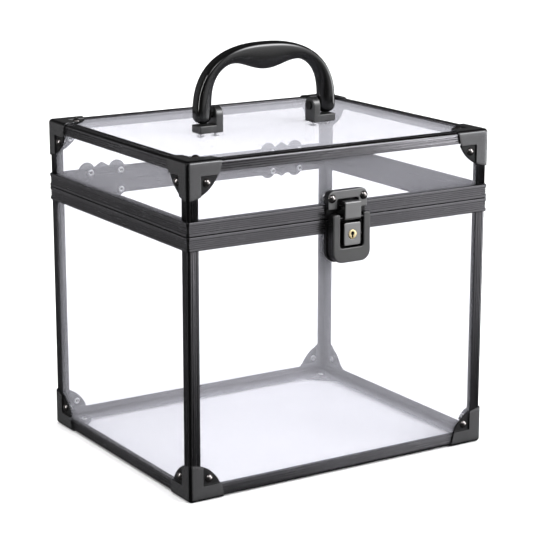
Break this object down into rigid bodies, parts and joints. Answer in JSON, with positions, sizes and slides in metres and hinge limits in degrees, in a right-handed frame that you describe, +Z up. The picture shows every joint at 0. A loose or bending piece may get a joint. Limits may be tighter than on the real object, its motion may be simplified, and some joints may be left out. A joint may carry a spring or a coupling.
{
  "type": "donation box",
  "caption": "Clear lockable donation box with slotted metal edge rails, riveted corner caps, a hinged lid, a folding carry handle and a keyed draw latch.",
  "frame": {"origin": "on the ground under the middle of the case", "axes": "+X to the right along the front, +Y from the front to the hinged back, +Z up"},
  "size_m": [0.302, 0.2706, 0.356],
  "materials": {
    "clear_panel": "clear polished acrylic",
    "edge_rail": "satin black anodised",
    "corner_steel": "satin black paint on pressed steel",
    "fitting": "satin dark grey on die-cast and pressed fittings",
    "rivet": "black nickel",
    "pin_steel": "drawn steel",
    "handle_plastic": "glossy moulded black",
    "lock_brass": "machined brass"
  },
  "bodies": {
    "base": {"floor_panel": "clear_panel", "base_front_panel": "clear_panel", "base_right_panel": "clear_panel", "base_back_panel": "clear_panel", "base_left_panel": "clear_panel", "floor_rail_front": "edge_rail", "floor_rail_right": "edge_rail", "floor_rail_back": "edge_rail", "floor_rail_left": "edge_rail", "base_posts": "edge_rail", "base_rim_front": "edge_rail", "base_rim_right": "edge_rail", "base_rim_back": "edge_rail", "base_rim_left": "edge_rail", "base_corner_front_left": "corner_steel", "base_corner_front_right": "corner_steel", "base_corner_back_right": "corner_steel", "base_corner_back_left": "corner_steel", "base_corner_rivets": "rivet", "hinge_base_leaf_left": "fitting", "hinge_base_leaf_right": "fitting", "hinge_pins": "pin_steel", "base_fitting_rivets": "rivet", "latch_base_plate": "corner_steel", "lock_block": "fitting", "latch_lever_pin": "pin_steel"},
    "lid": {"lid_top_panel": "clear_panel", "lid_front_panel": "clear_panel", "lid_right_panel": "clear_panel", "lid_back_panel": "clear_panel", "lid_left_panel": "clear_panel", "lid_rail_front": "edge_rail", "lid_rail_right": "edge_rail", "lid_rail_back": "edge_rail", "lid_rail_left": "edge_rail", "lid_posts": "edge_rail", "lid_rim_front": "edge_rail", "lid_rim_right": "edge_rail", "lid_rim_back": "edge_rail", "lid_rim_left": "edge_rail", "lid_corner_front_left": "corner_steel", "lid_corner_front_right": "corner_steel", "lid_corner_back_right": "corner_steel", "lid_corner_back_left": "corner_steel", "lid_corner_rivets": "rivet", "hinge_lid_leaf_left": "fitting", "hinge_lid_leaf_right": "fitting", "lid_fitting_rivets": "rivet", "latch_strike_plate": "fitting", "handle_bracket_left": "fitting", "handle_bracket_right": "fitting", "handle_bracket_rivets": "rivet"},
    "handle": {"handle_grip": "handle_plastic", "handle_pins": "pin_steel"},
    "lever": {"latch_lever": "fitting", "latch_hasp_pin": "pin_steel"},
    "hasp": {"latch_hasp": "fitting"},
    "lock": {"lock_cylinder": "lock_brass", "lock_cam": "pin_steel"}
  },
  "joints": [
    {"name": "lid_hinge", "type": "hinge", "parent": "base", "child": "lid", "pos_m": [0, 0.1294, 0.223], "axis": [-1, 0, 0], "range_deg": [0, 105]},
    {"name": "handle_swing", "type": "hinge", "parent": "lid", "child": "handle", "pos_m": [0, 0, 0.296], "axis": [1, 0, 0], "range_deg": [-90, 90]},
    {"name": "latch_lever_swing", "type": "hinge", "parent": "base", "child": "lever", "pos_m": [0, -0.1304, 0.2245], "axis": [-1, 0, 0], "range_deg": [0, 90]},
    {"name": "latch_hasp_swing", "type": "hinge", "parent": "lever", "child": "hasp", "pos_m": [0, -0.1344, 0.2245], "axis": [-1, 0, 0], "range_deg": [-120, 0]},
    {"name": "lock_turn", "type": "hinge", "parent": "base", "child": "lock", "pos_m": [0, -0.133, 0.2105], "axis": [0, 1, 0], "range_deg": [0, 90]}
  ],
  "couplings": [
    {"joint": "latch_hasp_swing", "follows": "latch_lever_swing", "ratio": -1.3333}
  ]
}
